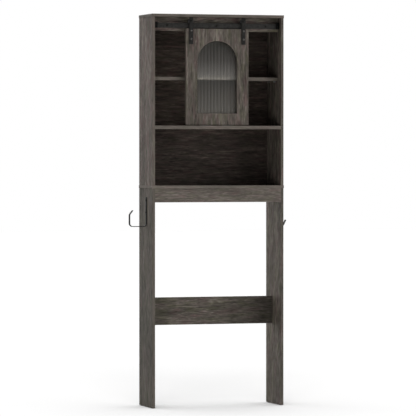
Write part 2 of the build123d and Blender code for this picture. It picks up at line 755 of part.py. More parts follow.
with BuildPart() as clip_screws:
    rod(clip_screw_places, clip_screw_head_r, clip_t, clip_screw_head_h)
    rod(clip_screw_places, clip_screw_r, clip_t - clip_screw_l, clip_screw_l)
save(clip_screws, "clip_screws")

# Strap hangers on the door's face
axle_places = {s: toward_back(s * hanger_x, strap_front_y, axle_z) for s in sides}
for s, hand in zip(sides, ("left", "right")):
    with BuildPart() as hanger:
        strap_x_span = (s * hanger_x - hanger_w / 2, s * hanger_x + hanger_w / 2)
        strap_z_span = (door_top - hanger_lap, top_underside - hanger_top_gap)
        block(strap_x_span, (strap_front_y, door_front_y), strap_z_span)
        fillet(hanger.edges().filter_by(Axis.Y), hanger_corner_r)
        strap_bolts = [plane for plane in hanger_bolt_places if plane.origin.X * s > 0]
        rod(strap_bolts, hanger_bolt_r + hanger_bolt_gap, 0, hanger_t, Mode.SUBTRACT)
        rod([axle_places[s]], axle_r + hanger_bolt_gap, 0, hanger_t, Mode.SUBTRACT)
    save(hanger, f"hanger_{hand}")

with BuildPart() as hanger_bolts:
    rod(hanger_bolt_places, hanger_bolt_head_r, -hanger_bolt_head_h, hanger_bolt_head_h)
    fillet(hanger_bolts.faces().sort_by(Axis.Y).group_by(Axis.Y)[0].edges(), hanger_bolt_head_h / 2)
    rod(hanger_bolt_places, hanger_bolt_r, 0, hanger_t + hanger_bolt_bite)
save(hanger_bolts, "hanger_bolts")

# Axles, bushes and nuts that hold each roller behind its strap
axle_planes = [axle_places[s] for s in sides]
bush_l = roller_front_y - roller_end_gap - door_front_y
nut_start = roller_back_y + roller_end_gap - strap_front_y
with BuildPart() as roller_axles:
    rod(axle_planes, axle_head_r, -axle_head_h, axle_head_h)
    fillet(roller_axles.faces().group_by(Axis.Y)[0].edges(), axle_head_h / 2)
    rod(axle_planes, axle_r, 0, nut_start + nut_h + axle_tail)
save(roller_axles, "roller_axles")

with BuildPart() as axle_bushes:
    rod(axle_planes, bush_r, hanger_t, bush_l)
    rod(axle_planes, axle_r + axle_gap, hanger_t, bush_l, Mode.SUBTRACT)
save(axle_bushes, "axle_bushes")

with BuildPart() as axle_nuts:
    for plane in axle_planes:
        with BuildSketch(plane.offset(nut_start)):
            RegularPolygon(nut_across_flats / 2, 6, major_radius=False)
        extrude(amount=nut_h)
    rod(axle_planes, axle_r + axle_gap, nut_start, nut_h, Mode.SUBTRACT)
save(axle_nuts, "axle_nuts")

# Rollers: a tread on the rail's top edge between two flanges
for s, hand in zip(sides, ("left", "right")):
    roller_plane = [toward_back(s * hanger_x, roller_front_y, axle_z)]
    with BuildPart() as roller:
        rod(roller_plane, flange_r, 0, flange_w)
        rod(roller_plane, tread_r, flange_w, roller_w - 2 * flange_w)
        rod(roller_plane, flange_r, roller_w - flange_w, flange_w)
        rod(roller_plane, axle_r + axle_gap, 0, roller_w, Mode.SUBTRACT)
    save(roller, f"roller_{hand}")
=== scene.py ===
"""Finishes, fittings, floor, light and camera of the over-the-toilet storage rack, around its fixed frame.

Metres, in the frame's own axes: -Y is the front, +Z is up, and the origin is on the floor under the cabinet.
"""

import math

import bmesh
import bpy
import numpy as np
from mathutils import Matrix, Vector


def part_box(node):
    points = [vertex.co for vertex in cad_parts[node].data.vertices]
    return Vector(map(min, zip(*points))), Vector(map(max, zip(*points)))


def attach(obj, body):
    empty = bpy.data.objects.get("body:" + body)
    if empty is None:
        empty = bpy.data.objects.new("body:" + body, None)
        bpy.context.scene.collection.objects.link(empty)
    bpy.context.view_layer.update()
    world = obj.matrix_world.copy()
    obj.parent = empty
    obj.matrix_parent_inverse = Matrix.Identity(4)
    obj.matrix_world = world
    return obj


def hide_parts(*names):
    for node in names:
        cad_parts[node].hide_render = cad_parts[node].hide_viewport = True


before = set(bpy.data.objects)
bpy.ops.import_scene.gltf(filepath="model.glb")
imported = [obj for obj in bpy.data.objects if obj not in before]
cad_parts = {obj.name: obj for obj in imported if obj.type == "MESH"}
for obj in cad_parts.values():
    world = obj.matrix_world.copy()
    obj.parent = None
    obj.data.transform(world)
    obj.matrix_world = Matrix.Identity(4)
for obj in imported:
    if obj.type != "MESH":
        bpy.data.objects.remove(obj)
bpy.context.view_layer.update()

# Legs: two upright panels of particle board, covered with an embossed foil that is printed as grey-brown
# oak, with a plain strip ironed on the cut edges; on the right-hand boards the strip is painted darker, as
# painted shade. Each stands on two glides and carries the cabinet.


def linear(hex_colour):
    """Linear colour of an sRGB hex value: ((c + 0.055) / 1.055) ** 2.4, or c / 12.92 near black."""
    srgb = [int(hex_colour[i : i + 2], 16) / 255 for i in (1, 3, 5)]
    return [c / 12.92 if c <= 0.04045 else ((c + 0.055) / 1.055) ** 2.4 for c in srgb] + [1.0]


def add_node(tree, kind, inputs=None, stops=(), **settings):
    """Add a shader node: an input is linked if it is given as an output socket, and set if it is a value.

    Stops are the places and colours of a colour ramp. In a colour Mix, inputs 0, 6 and 7 are the factor and
    the two colours, and output 2 is the result.
    """
    made = tree.nodes.new("ShaderNode" + kind)
    for name, value in settings.items():
        setattr(made, name, value)
    for place, _ in stops[:-2]:
        made.color_ramp.elements.new(place)
    for element, (place, colour) in zip(made.color_ramp.elements if stops else (), stops):
        element.position = place
        element.color = linear(colour)
    for name, value in (inputs or {}).items():
        if isinstance(value, bpy.types.NodeSocket):
            tree.links.new(value, made.inputs[name])
        else:
            made.inputs[name].default_value = value
    return made


def new_material(name):
    """A new material with one main shader on its output: gives the material, its tree and the shader."""
    material = bpy.data.materials.new(name)
    material.use_nodes = True
    tree = material.node_tree
    tree.nodes.clear()
    shader = add_node(tree, "BsdfPrincipled")
    add_node(tree, "OutputMaterial", {"Surface": shader.outputs[0]})
    return material, tree, shader


def coat(material, *names):
    """Give CAD nodes a finish, in place of every material slot that they have."""
    for name in names:
        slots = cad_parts[name].data.materials
        slots.clear()
        slots.append(material)


OAK_STOPS = ((0.18, "#2d2926"), (0.42, "#514d48"), (0.58, "#625c57"), (0.82, "#88817a"))
EDGE_STRIP = "#6e6861"
# Painted shade: the right-hand boards' edge strip is darker than the left-hand ones'.
RIGHT_STRIP_PAINTED_SHADE = "#57534d"


def oak_laminate(
    name, grain, thickness, start, blush=0.0, shade=0.0, bold=1.0, strip=EDGE_STRIP, stops=OAK_STOPS
):
    """Printed oak foil: the eye sees short grey-brown fibres, pale flecks and dark pores along the grain.

    Each layer is noise drawn out along the grain's axis, at a real width and length in millimetres. Their
    weighted sum, times bold and moved by shade, picks the tone. A last layer turns it towards pink or olive,
    with blush between the two and as far as the print is bold. The cut edges, which don't face along the
    thickness, take half of their colour from the strip.
    The finest layers are drawn two to three times as coarse as real pores, so that they show.
    """
    material, tree, shader = new_material(name)
    where = add_node(tree, "TexCoord")

    def streaks(width, length, detail, turn=0.0):
        """Noise in streaks that are so wide across the grain and so long along it, bent by turn."""
        size = [1000 / (length if axis == grain else width) for axis in "XYZ"]
        place = {"Vector": where.outputs["Object"], "Location": start, "Scale": size}
        noise = {"Vector": add_node(tree, "Mapping", place).outputs[0], "Scale": 1.0}
        return add_node(tree, "TexNoise", {**noise, "Detail": detail, "Distortion": turn}).outputs[0]

    ring_spacing = 0.013
    ring_unit = 0.314  # the spacing of a wave texture's rings at scale 1
    ring_tilt = (0.35, 0.3, 0.35)
    ring_stretch = [0.1 if axis == grain else 1.0 for axis in "XYZ"]
    ring_start = [0.04 * s for s in start]
    ring_place = {"Vector": where.outputs["Object"], "Location": ring_start, "Rotation": ring_tilt}
    rings = add_node(tree, "Mapping", {**ring_place, "Scale": ring_stretch})
    wave = {"Vector": rings.outputs[0], "Scale": ring_unit / ring_spacing}
    bend = {"Distortion": 5.0, "Detail": 2.0, "Detail Scale": 0.6}
    drawn = {"wave_type": "RINGS", "rings_direction": grain, "wave_profile": "SAW"}
    figure = add_node(tree, "TexWave", {**wave, **bend}, **drawn)
    fleck = add_node(tree, "MapRange", {"Value": streaks(5, 26, 1.5), "From Min": 0.58, "From Max": 0.75})
    pore = add_node(tree, "MapRange", {"Value": streaks(3, 30, 1.5), "From Min": 0.57, "From Max": 0.70})

    cloud = streaks(65, 320, 2.0, 0.6)
    band = streaks(13, 90, 2.0, 0.4)
    fibre = streaks(5, 32, 2.0)
    total = 0.02
    for pattern, share, middle in (
        (cloud, 0.60, 0.5),
        (band, 0.60, 0.5),
        (fibre, 0.70, 0.5),
        (figure.outputs[1], 0.05, 0.5),
        (fleck.outputs[0], 0.18, 0.1),
        (pore.outputs[0], -0.22, 0.1),
    ):
        shifted = add_node(tree, "Math", {0: pattern, 1: middle}, operation="SUBTRACT").outputs[0]
        total = add_node(tree, "Math", {0: shifted, 1: share, 2: total}, operation="MULTIPLY_ADD").outputs[0]
    level = add_node(tree, "Math", {0: total, 1: bold, 2: 0.5 + shade}, operation="MULTIPLY_ADD")
    tone = add_node(tree, "ValToRGB", {"Fac": level.outputs[0]}, stops)
    hue_stops = ((0.28 - blush, "#edf2d9"), (0.50 - blush, "#fffcf8"), (0.72 - blush, "#ffe3e5"))
    hue = add_node(tree, "ValToRGB", {"Fac": streaks(17, 70, 2.0)}, hue_stops)
    tinted = add_node(
        tree, "Mix", {0: bold, 6: tone.outputs[0], 7: hue.outputs[0]}, data_type="RGBA", blend_type="MULTIPLY"
    )

    across = [float(axis == thickness) for axis in "XYZ"]
    facing = add_node(tree, "VectorMath", {0: where.outputs["Normal"], 1: across}, operation="DOT_PRODUCT")
    flat = add_node(tree, "Math", {0: facing.outputs["Value"]}, operation="ABSOLUTE")
    strip_share = 0.5
    cut = {"Value": flat.outputs[0], "From Min": 0.6, "From Max": 0.4, "To Max": strip_share}
    edge = add_node(tree, "MapRange", cut)
    banded = add_node(
        tree, "Mix", {0: edge.outputs[0], 6: tinted.outputs[2], 7: linear(strip)}, data_type="RGBA"
    )
    tree.links.new(banded.outputs[2], shader.inputs["Base Color"])

    sheen = {"From Min": 0.3, "From Max": 0.7, "To Min": 0.80, "To Max": 0.64}
    rough = add_node(tree, "MapRange", {"Value": fibre, **sheen})
    tree.links.new(rough.outputs[0], shader.inputs["Roughness"])
    relief = add_node(tree, "Math", {0: fibre, 1: pore.outputs[0]}, operation="SUBTRACT")
    bump = add_node(tree, "Bump", {"Height": relief.outputs[0], "Strength": 0.35, "Distance": 0.0002})
    tree.links.new(bump.outputs[0], shader.inputs["Normal"])
    shader.inputs["Specular IOR Level"].default_value = 0.1
    return material


# Painted shade: the left leg's print is set darker, so that the rack's left face darkens towards the floor.
leg_left_oak = oak_laminate(
    "oak_laminate_leg_left", "Z", "X", (2.1, 9.7, 7.5), blush=-0.05, shade=-0.08, bold=0.8
)
leg_right_oak = oak_laminate(
    "oak_laminate_leg_right", "Z", "X", (7.4, 8.1, 8.1), blush=-0.02, shade=0.035, strip=RIGHT_STRIP_PAINTED_SHADE
)
coat(leg_left_oak, "leg_left")
coat(leg_right_oak, "leg_right")

# Stretcher and front apron: rails of the same board between the legs, with the print's grain along them.
# The apron hangs under the bottom board, and the stretcher stiffens the legs behind.
stretcher_oak = oak_laminate(
    "oak_laminate_stretcher", "X", "Y", (5.2, 1.3, 6.2), blush=-0.05, shade=-0.01, bold=0.8
)
apron_oak = oak_laminate("oak_laminate_apron", "X", "Y", (6.5, 5.6, 1.6), shade=0.08, bold=0.62)
coat(stretcher_oak, "stretcher")
coat(apron_oak, "front_apron")

# Bottom board: the cabinet's floor, laid over the legs and proud of them by a hair at the front and ends.
# It takes the leg bolts from below and the side bolts from above. The shelves' edge strip is painted
# paler, as painted light on their front edges.
# Painted light: the shelves' edge strip is paler than the uprights'.
SHELF_STRIP_PAINTED_LIGHT = "#78716a"
bottom_oak = oak_laminate("oak_laminate_bottom", "X", "Z", (1.4, 2.2, 6.6), strip=SHELF_STRIP_PAINTED_LIGHT)
coat(bottom_oak, "bottom_board")

# Upper sides: the cabinet's two uprights of the same board, bolted on the bottom board by cams, with the
# grain up them and a groove behind for the back panel.
# Painted light: the left side's print is set lighter, so that the rack's left face brightens upwards.
side_left_oak = oak_laminate(
    "oak_laminate_side_left", "Z", "X", (3.4, 7.8, 3.1), blush=0.05, shade=0.07, bold=0.9
)
side_right_oak = oak_laminate("oak_laminate_side_right", "Z", "X", (9.2, 6.1, 7.3), strip=RIGHT_STRIP_PAINTED_SHADE)
coat(side_left_oak, "upper_side_left")
coat(side_right_oak, "upper_side_right")

# Header and fixed shelf: cross boards held by cams. The header carries the rail, and the fixed shelf
# closes the cubby and carries the door's guides.
# Painted light: the header's print is set lighter, and its noise start picked so its right end is lighter.
header_oak = oak_laminate("oak_laminate_header", "X", "Y", (5.4, 4.5, 9.4), shade=0.09)
fixed_shelf_oak = oak_laminate("oak_laminate_fixed_shelf", "X", "Z", (8.3, 4.4, 5.9), strip=SHELF_STRIP_PAINTED_LIGHT)
coat(header_oak, "header_board")
coat(fixed_shelf_oak, "fixed_shelf")

# Back panel: 3 mm hardboard slid into the grooves. Its front is printed as the same oak in darker tones, with
# painted shade that darkens it below the fixed shelf, and its rear is bare pressed fibre.
HARDBOARD_STOPS = ((0.18, "#231f1c"), (0.42, "#413a36"), (0.58, "#504843"), (0.82, "#70665f"))
# Painted shade: the print is multiplied by the first colour above the fixed shelf and by the second below it.
NO_PAINTED_SHADE_ABOVE_SHELF = "#ffffff"
PAINTED_SHADE_BELOW_SHELF = "#c9c9c9"
FIBRE_STOPS = ((0.5, "#664d38"), (1.0, "#8d7054"))


def painted_shade_and_bare_rear(material, shelf_z):
    """Hardboard on top of its print: the eye sees brown felted fibre behind, and a dimmer print low in front.

    The felt is noise of 3 mm in clouds of 90 mm, on all that faces +Y. The dimmer print low in front
    is painted shade: the print fades to its low tone over 60 mm at the height of the shelf.
    """
    tree = material.node_tree
    shader = tree.nodes["Principled BSDF"]
    printed = shader.inputs["Base Color"].links[0].from_socket
    where = add_node(tree, "TexCoord")
    place = add_node(tree, "SeparateXYZ", {0: where.outputs["Object"]})
    # Painted shade: the print is darkened below the shelf.
    span = {"Value": place.outputs[2], "From Min": shelf_z - 0.03, "From Max": shelf_z + 0.03}
    height = add_node(tree, "MapRange", span).outputs[0]
    painted_shade_fade = add_node(tree, "Mix", {0: height, 6: linear(PAINTED_SHADE_BELOW_SHELF), 7: linear(NO_PAINTED_SHADE_ABOVE_SHELF)}, data_type="RGBA")
    print_with_painted_shade = add_node(
        tree, "Mix", {0: 1.0, 6: printed, 7: painted_shade_fade.outputs[2]}, data_type="RGBA", blend_type="MULTIPLY"
    )
    felt = add_node(tree, "TexNoise", {"Vector": where.outputs["Object"], "Scale": 1000 / 3, "Detail": 4.0})
    cloud = add_node(tree, "TexNoise", {"Vector": where.outputs["Object"], "Scale": 1000 / 90, "Detail": 3.0})
    summed = {0: cloud.outputs[0], 1: 0.5, 2: felt.outputs[0]}
    mottle = add_node(tree, "Math", summed, operation="MULTIPLY_ADD")
    brown = add_node(tree, "ValToRGB", {"Fac": mottle.outputs[0]}, FIBRE_STOPS)
    faces = add_node(tree, "SeparateXYZ", {0: where.outputs["Normal"]})
    rear = add_node(tree, "MapRange", {"Value": faces.outputs[1], "From Min": 0.4, "From Max": 0.6})
    bare = add_node(
        tree, "Mix", {0: rear.outputs[0], 6: print_with_painted_shade.outputs[2], 7: brown.outputs[0]}, data_type="RGBA"
    )
    tree.links.new(bare.outputs[2], shader.inputs["Base Color"])


hardboard = oak_laminate(
    "oak_hardboard", "X", "Y", (9.8, 2.7, 8.4), blush=0.02, shade=0.02, bold=0.75, stops=HARDBOARD_STOPS
)
painted_shade_and_bare_rear(hardboard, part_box("fixed_shelf")[0].z)
coat(hardboard, "back_panel")

# Top panel and middle shelf: the last boards, of the same laminate. The top closes the cabinet and is bolted
# on the sides by cams, and the shelf lies loose on four pins.
top_oak = oak_laminate("oak_laminate_top", "X", "Z", (3.7, 1.2, 8.8))
middle_shelf_oak = oak_laminate("oak_laminate_middle_shelf", "X", "Z", (6.9, 8.1, 0.2), strip=SHELF_STRIP_PAINTED_LIGHT)
coat(top_oak, "top_panel")
coat(middle_shelf_oak, "middle_shelf")

# Joint fittings: zinc-plated cam bolts and cast cam discs in their bores, and fluted beech dowels between
# the boards. Only the ends of the cams would show, and each has a printed sticker over it.


def zinc_plate(name):
    """Zinc-plated steel: a dulled grey metal, clouded by the plating's grain in patches of about 4 mm."""
    material, tree, shader = new_material(name)
    where = add_node(tree, "TexCoord")
    patch = add_node(tree, "TexNoise", {"Vector": where.outputs["Object"], "Scale": 1000 / 4, "Detail": 3.0})
    tint = add_node(tree, "ValToRGB", {"Fac": patch.outputs[0]}, ((0.3, "#6c7072"), (0.7, "#9a9d9d")))
    rough = add_node(tree, "MapRange", {"Value": patch.outputs[0], "To Min": 0.24, "To Max": 0.46})
    tree.links.new(tint.outputs[0], shader.inputs["Base Color"])
    tree.links.new(rough.outputs[0], shader.inputs["Roughness"])
    shader.inputs["Metallic"].default_value = 1.0
    return material


def beech(name):
    """Turned beech: a pale, matt wood with darker flecks of about 1.5 mm."""
    material, tree, shader = new_material(name)
    where = add_node(tree, "TexCoord")
    grain = {"Vector": where.outputs["Object"], "Scale": 1000 / 1.5, "Detail": 2.0}
    fleck = add_node(tree, "TexNoise", grain)
    tint = add_node(tree, "ValToRGB", {"Fac": fleck.outputs[0]}, ((0.35, "#b08a5c"), (0.65, "#d2b083")))
    tree.links.new(tint.outputs[0], shader.inputs["Base Color"])
    shader.inputs["Roughness"].default_value = 0.7
    return material


zinc = zinc_plate("zinc_plated_steel")
coat(zinc, "cam_bolts", "cam_discs", "shelf_pins", "wall_brackets")
coat(beech("beech"), "dowels")
coat(oak_laminate("cover_film", "Z", "X", (2.2, 6.7, 1.6)), "cam_covers")

# Foot glides: small pads of moulded black nylon, two under each leg. Each has a pin that is driven up into
# the leg's lower edge.
X_AXIS, Y_AXIS, Z_AXIS = range(3)
SIDES = 48
TURN = np.arange(SIDES) * 2 * math.pi / SIDES
ROUND = np.ones(SIDES)


def pieces_of(node, reach):
    """Boxes of the like pieces in one CAD node: all points within reach of the first one left are a piece."""
    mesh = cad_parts[node].data
    points = np.empty(3 * len(mesh.vertices))
    mesh.vertices.foreach_get("co", points)
    points = points.reshape(-1, 3)
    boxes = []
    while len(points):
        near = np.linalg.norm(points - points[0], axis=1) < reach
        boxes.append((points[near].min(0), points[near].max(0)))
        points = points[~near]
    return boxes


def turned(box, axis, sign, rows):
    """Grid of a turned piece in its box: row i lies at depth d_i, at r_i * shape_i(a) from the axis.

    Depth is from the head, which is at the box's low end if sign is 1, and at its high end if it is -1. Radii
    and depths are in millimetres, and shape_i(a) is the section at the angles of TURN.
    """
    lo, hi = box
    u, v = (axis + 1) % 3, (axis + 2) % 3
    middle = (lo + hi) / 2
    grid = np.empty((len(rows), len(TURN), 3))
    for row, (radius, depth, shape) in zip(grid, rows):
        row[:, u] = middle[u] + radius / 1000 * shape * np.cos(TURN)
        row[:, v] = middle[v] + radius / 1000 * shape * np.sin(TURN)
        row[:, axis] = (lo if sign > 0 else hi)[axis] + sign * depth / 1000
    return grid


def solid(name, grids, ring=False):
    """Object of grids that close around: a ring closes along its rows too, and others end in flat caps."""
    points, faces, base = [], [], 0
    for grid in grids:
        index = base + np.arange(grid.shape[0] * grid.shape[1]).reshape(grid.shape[:2])
        lower = index if ring else index[:-1]
        upper = np.roll(index, -1, 0)[: len(lower)]
        quads = np.stack([lower, np.roll(lower, -1, 1), np.roll(upper, -1, 1), upper], -1)
        faces += quads.reshape(-1, 4).tolist()
        faces += [] if ring else [index[0].tolist(), index[-1].tolist()]
        points.append(grid.reshape(-1, 3))
        base += index.size
    mesh = bpy.data.meshes.new(name)
    mesh.from_pydata(np.concatenate(points), [], faces)
    form = bmesh.new()
    form.from_mesh(mesh)
    bmesh.ops.recalc_face_normals(form, faces=form.faces)
    form.to_mesh(mesh)
    form.free()
    mesh.shade_smooth()
    mesh.set_sharp_from_angle(angle=math.radians(35))
    piece = bpy.data.objects.new(name, mesh)
    bpy.context.scene.collection.objects.link(piece)
    return piece


def turned_set(name, node, reach, axis, sign, rows, ring=False):
    """Object of like turned pieces: the same rows in the box of each piece of a CAD node."""
    return solid(name, [turned(box, axis, sign, rows) for box in pieces_of(node, reach)], ring)


def fit(piece, material, slot, body, *nodes):
    """Finish a made piece and put it in the place of the CAD nodes that it stands for."""
    piece.data.materials.append(material)
    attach(piece, body)
    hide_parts(*nodes)


def moulded_nylon(name):
    """Black nylon: a dull black with faint grey clouding and the fine spark texture of the mould."""
    material, tree, shader = new_material(name)
    where = add_node(tree, "TexCoord")
    cloud = add_node(tree, "TexNoise", {"Vector": where.outputs["Object"], "Scale": 1000 / 6, "Detail": 2.0})
    grit = {"Vector": where.outputs["Object"], "Scale": 1000 / 0.8, "Detail": 1.0}
    spark = add_node(tree, "TexNoise", grit)
    tint = add_node(tree, "ValToRGB", {"Fac": cloud.outputs[0]}, ((0.3, "#121213"), (0.7, "#1e1e1f")))
    bump = add_node(tree, "Bump", {"Height": spark.outputs[0], "Strength": 0.3, "Distance": 0.0001})
    tree.links.new(tint.outputs[0], shader.inputs["Base Color"])
    tree.links.new(bump.outputs[0], shader.inputs["Normal"])
    shader.inputs["Roughness"].default_value = 0.5
    return material


nylon = moulded_nylon("black_nylon")
glide_rows = (
    (4.1, 0.0, ROUND),
    (4.7, 0.2, ROUND),
    (4.98, 0.8, ROUND),
    (4.98, 2.0, ROUND),
    (1.2, 2.0, ROUND),
    (1.2, 11.4, ROUND),
    (0.6, 12.0, ROUND),
)
glides = turned_set("foot_glides_moulded", "foot_glides", 0.04, Z_AXIS, 1, glide_rows)
fit(glides, nylon, "black_nylon", "cabinet", "foot_glides")

# Wall brackets: folded angles of zinc-plated steel under the top panel, which tie the rack to the wall. Each
# is held by a cross-head screw from below.
CROSS_ANGLE = (TURN + math.pi / 4) % (math.pi / 2) - math.pi / 4
CROSS_ARM = 0.27  # half the width of a cross recess's arm, as a share of its reach
CROSS = np.minimum(1 / np.cos(CROSS_ANGLE), CROSS_ARM / np.maximum(np.abs(np.sin(CROSS_ANGLE)), 1e-6))


def cross_screw(head_radius, head_height, shank_radius, length):
    """Rows of a pan-head screw: the cross recess, a domed head, then the shank and its tip. Millimetres."""
    arm = 0.62 * head_radius
    dome = [
        (head_radius * math.sin(t), head_height * 0.8 * (1 - math.cos(t)), ROUND)
        for t in np.linspace(math.asin(0.72), math.pi / 2, 5)
    ]
    return (
        (0.55 * arm, 0.75 * head_height, CROSS),
        (arm, 0.16 * head_height, CROSS),
        (0.68 * head_radius, 0.2 * head_height, ROUND),
        *dome,
        (head_radius, head_height, ROUND),
        (shank_radius, head_height, ROUND),
        (shank_radius, length - shank_radius, ROUND),
        (0.3 * shank_radius, length, ROUND),
    )


bracket_screw_rows = cross_screw(head_radius=3.48, head_height=1.8, shank_radius=1.75, length=10.8)
bracket_screws = turned_set(
    "bracket_screws_turned", "bracket_screws", 0.03, Z_AXIS, 1, bracket_screw_rows
)
fit(bracket_screws, zinc, "zinc_steel", "cabinet", "bracket_screws")

# Side hooks: flat steel strip, bent cold round a pin and powder-coated black. The left one is a wide bay for
# a towel and the right one a short lip. Each is held on the leg by two screws.


def powder_coat(name, dark, light):
    """Black powder coat on steel: a matt black with the faint orange peel and dust of a baked coating."""
    material, tree, shader = new_material(name)
    where = add_node(tree, "TexCoord")
    dust = add_node(tree, "TexNoise", {"Vector": where.outputs["Object"], "Scale": 1000 / 9, "Detail": 4.0})
    peel = add_node(tree, "TexNoise", {"Vector": where.outputs["Object"], "Scale": 1000 / 1.6, "Detail": 1.0})
    tint = add_node(tree, "ValToRGB", {"Fac": dust.outputs[0]}, ((0.35, dark), (0.7, light)))
    rough = add_node(tree, "MapRange", {"Value": dust.outputs[0], "To Min": 0.50, "To Max": 0.68})
    bump = add_node(tree, "Bump", {"Height": peel.outputs[0], "Strength": 0.25, "Distance": 0.0001})
    tree.links.new(tint.outputs[0], shader.inputs["Base Color"])
    tree.links.new(rough.outputs[0], shader.inputs["Roughness"])
    tree.links.new(bump.outputs[0], shader.inputs["Normal"])
    shader.inputs["Specular IOR Level"].default_value = 0.04
    return material


def rounded_outline(width, height, radius, steps=5):
    """Points around a rounded rectangle about the origin: four quarter circles, joined by straights."""
    corners = []
    for quarter, (right, upper) in enumerate(((1, 1), (-1, 1), (-1, -1), (1, -1))):
        a = np.linspace(0, math.pi / 2, steps) + quarter * math.pi / 2
        x = right * (width / 2 - radius) + radius * np.cos(a)
        y = upper * (height / 2 - radius) + radius * np.sin(a)
        corners.append(np.stack([x, y], 1))
    return np.concatenate(corners)


def bent(corners, radius, steps=9):
    """Points along a bent strip's middle line: straights between corners, joined by arcs of one radius."""
    corners = np.array(corners)
    path = [corners[:1]]
    for before, corner, after in zip(corners, corners[1:], corners[2:]):
        into = (corner - before) / np.linalg.norm(corner - before)
        out = (after - corner) / np.linalg.norm(after - corner)
        turn = math.acos(np.dot(into, out))
        inward = (out - into) / np.linalg.norm(out - into)
        centre = corner + inward * radius / math.cos(turn / 2)
        start = corner - into * radius * math.tan(turn / 2)
        a = np.linspace(0, turn, steps)[:, None]
        path.append(centre + np.cos(a) * (start - centre) + radius * np.sin(a) * into)
    return np.concatenate(path + [corners[-1:]])


END_RIM = 0.45


def flat_strip(path, depth_span, thickness, edge):
    """Grid of a flat strip carried along a path in X and Z: its rounded section stays square to the path.

    Half a thickness past each end, the section is drawn in to a rim of END_RIM times its thickness.
    """
    tangent = np.gradient(path, axis=0)
    tangent /= np.linalg.norm(tangent, axis=1)[:, None]
    lead, tail = path[:1] - tangent[:1] * thickness / 2, path[-1:] + tangent[-1:] * thickness / 2
    path = np.concatenate([lead, path, tail])
    tangent = np.concatenate([tangent[:1], tangent, tangent[-1:]])
    slim = np.ones(len(path))
    slim[[0, -1]] = END_RIM
    section = rounded_outline(thickness, depth_span[1] - depth_span[0], edge)
    out = slim[:, None] * section[:, 0]
    grid = np.empty((*out.shape, 3))
    grid[..., 0] = path[:, :1] - tangent[:, 1:] * out
    grid[..., 1] = sum(depth_span) / 2 + section[:, 1]
    grid[..., 2] = path[:, 1:] + tangent[:, :1] * out
    return grid


HOOK_T = 0.003
HOOK_EDGE = 0.0006
LEFT_BEND = 0.014
LEFT_PRONG_TOP = 0.835
LEFT_TIP_RUN = 0.0135
LEFT_TIP_RISE = 0.017
hook_steel = powder_coat("black_powder_coated_steel", dark="#060606", light="#0e0e0d")
left_lo, left_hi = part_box("side_hook_left")
left_back = left_hi.x - HOOK_T / 2
left_prong = left_lo.x + HOOK_T / 2
left_floor = left_lo.z + HOOK_T / 2
left_path = bent(
    (
        (left_back, left_hi.z - HOOK_T / 2),
        (left_back, left_floor),
        (left_prong, left_floor),
        (left_prong, LEFT_PRONG_TOP),
        (left_prong + LEFT_TIP_RUN, LEFT_PRONG_TOP + LEFT_TIP_RISE),
    ),
    LEFT_BEND,
)
left_strip = flat_strip(left_path, (left_lo.y, left_hi.y), HOOK_T, HOOK_EDGE)
left_hook = solid("side_hook_left_bent", [left_strip])
fit(left_hook, hook_steel, "black_steel", "cabinet", "side_hook_left")

RIGHT_BEND = 0.008
RIGHT_FLOOR = 0.0265
RIGHT_LIP_RUN = 0.011
RIGHT_LIP_RISE = 0.024
right_lo, right_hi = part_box("side_hook_right")
right_back = right_lo.x + HOOK_T / 2
right_floor = right_lo.z + HOOK_T / 2
right_path = bent(
    (
        (right_back, right_hi.z - HOOK_T / 2),
        (right_back, right_floor),
        (right_back + RIGHT_FLOOR, right_floor),
        (right_back + RIGHT_FLOOR + RIGHT_LIP_RUN, right_floor + RIGHT_LIP_RISE),
    ),
    RIGHT_BEND,
)
right_strip = flat_strip(right_path, (right_lo.y, right_hi.y), HOOK_T, HOOK_EDGE)
right_hook = solid("side_hook_right_bent", [right_strip])
fit(right_hook, hook_steel, "black_steel", "cabinet", "side_hook_right")

hook_screw_rows = cross_screw(head_radius=3.78, head_height=2.0, shank_radius=1.75, length=14.0)
hook_screws = solid(
    "hook_screws_turned",
    [
        turned(box, X_AXIS, -1 if box[0][0] > 0 else 1, hook_screw_rows)
        for box in pieces_of("hook_screws", 0.025)
    ],
)
fit(hook_screws, hook_steel, "black_steel", "cabinet", "hook_screws")

# Rail: a flat steel bar, powder-coated black, along the cabinet's head. Sleeves hold it off the header, and a
# socket bolt goes through each of them.


def plate(lo, hi, axis, corner, ease):
    """Grid of a plate between two corners: a rounded outline across one axis, drawn in along eased rims."""
    u, v = [i for i in range(3) if i != axis]
    rims = [(ease * (1 - math.cos(t)), ease * (1 - math.sin(t))) for t in np.linspace(0, math.pi / 2, 4)]
    rows = [(lo[axis] + depth, inset) for depth, inset in rims]
    rows += [(hi[axis] - depth, inset) for depth, inset in rims[::-1]]
    grid = []
    for depth, inset in rows:
        flat = rounded_outline(hi[u] - lo[u] - 2 * inset, hi[v] - lo[v] - 2 * inset, corner - inset)
        row = np.full((len(flat), 3), depth)
        row[:, u] = (lo[u] + hi[u]) / 2 + flat[:, 0]
        row[:, v] = (lo[v] + hi[v]) / 2 + flat[:, 1]
        grid.append(row)
    return np.stack(grid)


def sleeve(bore, radius, length, chamfer):
    """Rows of a sleeve, round its closed section: bore, chamfered ends and outside. Millimetres."""
    return (
        (bore, 0.0, ROUND),
        (radius - chamfer, 0.0, ROUND),
        (radius, chamfer, ROUND),
        (radius, length - chamfer, ROUND),
        (radius - chamfer, length, ROUND),
        (bore, length, ROUND),
    )


HEX = 1 / np.cos(TURN % (math.pi / 3) - math.pi / 6)


